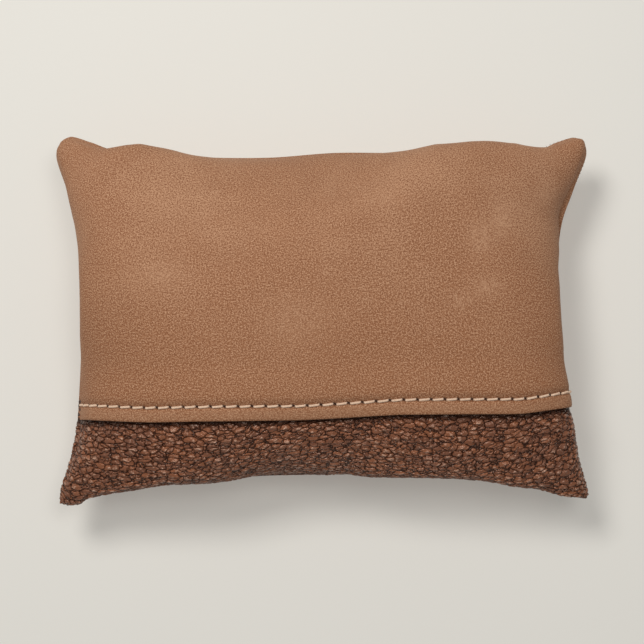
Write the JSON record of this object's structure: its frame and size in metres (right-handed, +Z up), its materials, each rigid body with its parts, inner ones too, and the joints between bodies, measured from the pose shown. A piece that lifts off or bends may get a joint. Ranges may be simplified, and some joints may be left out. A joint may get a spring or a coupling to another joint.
{
  "type": "throw pillow",
  "caption": "Lumbar throw pillow: two-tone leather cover with a topstitched hem and a bottom zip, round a fibre-filled insert.",
  "frame": {"origin": "under the pillow's middle, on the surface that it lies on, back panel down", "axes": "+X along the long sides, +Y to the top edge (the zip is on the -Y side), +Z up through the front panels"},
  "size_m": [0.4071, 0.282, 0.124],
  "materials": {
    "tan_nubuck": "matte",
    "dark_pebbled_leather": "satin",
    "cream_thread": "satin",
    "brown_thread": "matte",
    "zip_tape": "matte",
    "zip_teeth": "satin",
    "aged_brass": "satin",
    "insert_cotton": "matte",
    "polyester_fibre": "matte"
  },
  "bodies": {
    "cover": {"front_upper_panel": "tan_nubuck", "front_lower_panel": "dark_pebbled_leather", "back_panel": "tan_nubuck", "topstitch_needle_thread": "cream_thread", "topstitch_bobbin_thread": "cream_thread", "perimeter_seam_thread": "brown_thread", "zip_tape_front": "zip_tape", "zip_tape_back": "zip_tape", "zip_teeth_front": "zip_teeth", "zip_teeth_back": "zip_teeth", "zip_bottom_stop": "aged_brass", "zip_top_stop_front": "aged_brass", "zip_top_stop_back": "aged_brass", "zip_stitch_front": "brown_thread", "zip_stitch_back": "brown_thread", "insert_casing_front": "insert_cotton", "insert_casing_back": "insert_cotton", "insert_closing_stitch": "cream_thread", "fibre_fill": "polyester_fibre"},
    "zip_slider": {"zip_slider_body": "aged_brass"},
    "pull_tab": {"zip_pull_tab": "aged_brass"}
  },
  "joints": [
    {"name": "zip_slide", "type": "hinge", "parent": "cover", "child": "zip_slider", "pos_m": [0.016, -1.6175, 0.058], "axis": [0, 0, 1], "range_deg": [0, 10.2]},
    {"name": "tab_swing", "type": "hinge", "parent": "zip_slider", "child": "pull_tab", "pos_m": [0.15109, -0.1245, 0.058], "axis": [0, 0, 1], "range_deg": [0, 170]}
  ]
}
